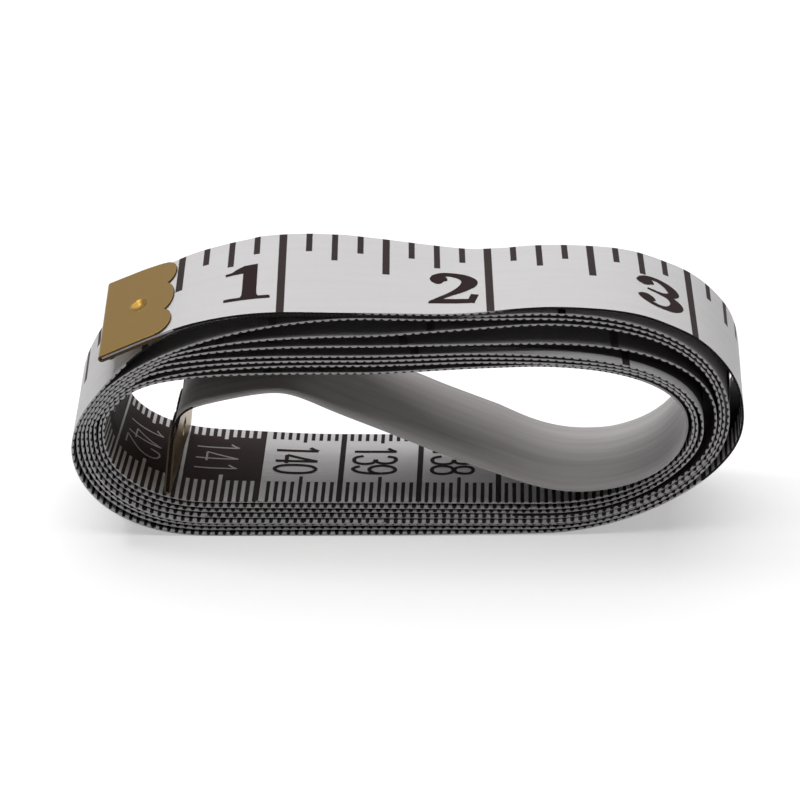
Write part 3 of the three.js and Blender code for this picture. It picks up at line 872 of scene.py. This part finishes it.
brass, tree, shader = new_material("satin_brass")
tarnish = place_group(tree, mottle, Scale=260, Detail=5).outputs["Mask"]
brass_colour = mix_colours(tree, tarnish, (0.235, 0.14, 0.03, 1), (0.19, 0.112, 0.023, 1))
tree.links.new(brass_colour, shader.inputs["Base Color"])
tree.links.new(calc(tree, "MULTIPLY_ADD", tarnish, 0.25, 0.18), shader.inputs["Roughness"])
shader.inputs["Metallic"].default_value = 1
# The sheet's cut edge: partly its own dull brown, and partly painted shade along the clip's outline.
dull_and_shaded_edge, tree, shader = new_material("dull_and_shaded_cut_edge")
grain = place_group(tree, mottle, Scale=1500, Detail=2).outputs["Mask"]
edge_colour = mix_colours(tree, grain, (0.05, 0.032, 0.012, 1), (0.025, 0.016, 0.008, 1))
tree.links.new(edge_colour, shader.inputs["Base Color"])
shader.inputs["Roughness"].default_value = 0.55
shader.inputs["Metallic"].default_value = 0.6
outer_clip = end_clip("outer_clip", lambda along_it: along_it, brass, dull_and_shaded_edge)
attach(outer_clip, "lead_end")
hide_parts("outer_end_clip")
inner_clip = end_clip("inner_clip", lambda along_it: tape_length - along_it, brass, dull_and_shaded_edge)
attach(inner_clip, "tail_end")
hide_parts("inner_end_clip")


# The studio: a wide pale floor that runs out of sight, one broad soft lamp above and behind, a small one on the left,
# and even light from all round. The floor and the surroundings are white to the eye and keep the coil's shadow.
floor_half_size = 3
floor_glow = 0.4
surround = 0.03


def seen_directly(tree):
    """1 for rays from the camera, also by way of a mirror or glass, and 0 for rays that only carry light."""
    light_path = tree.nodes.new("ShaderNodeLightPath")
    seen = calc(tree, "MAXIMUM", light_path.outputs["Is Camera Ray"], light_path.outputs["Is Glossy Ray"])
    return calc(tree, "MAXIMUM", seen, light_path.outputs["Is Transmission Ray"])


pale, tree, shader = new_material("pale_floor")
shader.inputs["Base Color"].default_value = (0.8, 0.8, 0.8, 1)
shader.inputs["Roughness"].default_value = 1
shader.inputs["Specular IOR Level"].default_value = 0
glow = tree.nodes.new("ShaderNodeEmission")
tree.links.new(calc(tree, "MULTIPLY", seen_directly(tree), floor_glow), glow.inputs["Strength"])
both = tree.nodes.new("ShaderNodeAddShader")
tree.links.new(shader.outputs["BSDF"], both.inputs[0])
tree.links.new(glow.outputs["Emission"], both.inputs[1])
tree.links.new(both.outputs["Shader"], tree.nodes["Material Output"].inputs["Surface"])
floor_shape = bmesh.new()
bmesh.ops.create_grid(floor_shape, x_segments=1, y_segments=1, size=floor_half_size)
floor = make_object("floor", floor_shape, pale)

world = bpy.data.worlds.new("studio")
bpy.context.scene.world = world
world.use_nodes = True
tree = world.node_tree
background = tree.nodes["Background"]
background.inputs["Color"].default_value = (1, 1, 1, 1)
brightness = calc(tree, "MULTIPLY_ADD", seen_directly(tree), 1 - surround, surround)
tree.links.new(brightness, background.inputs["Strength"])

lamp_data = bpy.data.lights.new("broad_lamp", "AREA")
lamp_data.shape = "RECTANGLE"
lamp_data.size = 0.8
lamp_data.size_y = 0.66
lamp_data.energy = 3.45
lamp = bpy.data.objects.new("broad_lamp", lamp_data)
bpy.context.collection.objects.link(lamp)
lamp.location = (-0.03, 0.11, 0.52)
lamp.rotation_euler = (math.radians(-10.5), 0, 0)
spot_data = bpy.data.lights.new("small_lamp", "AREA")
spot_data.size = 0.08
spot_data.energy = 0.3
spot = bpy.data.objects.new("small_lamp", spot_data)
bpy.context.collection.objects.link(spot)
spot.location = (-0.3, 0.1, 0.4)
spot.rotation_euler = (math.radians(-11), math.radians(-36), 0)

camera_data = bpy.data.cameras.new("camera")
camera_data.lens = 128.5
camera_data.sensor_width = 36
camera_data.clip_start = 0.01
camera = bpy.data.objects.new("camera", camera_data)
bpy.context.collection.objects.link(camera)
camera.location = (-0.00065, -0.3044, 0.19534)
camera.rotation_euler = (math.radians(59.3), 0, 0)
bpy.context.scene.camera = camera
bpy.context.scene.view_settings.view_transform = "Standard"
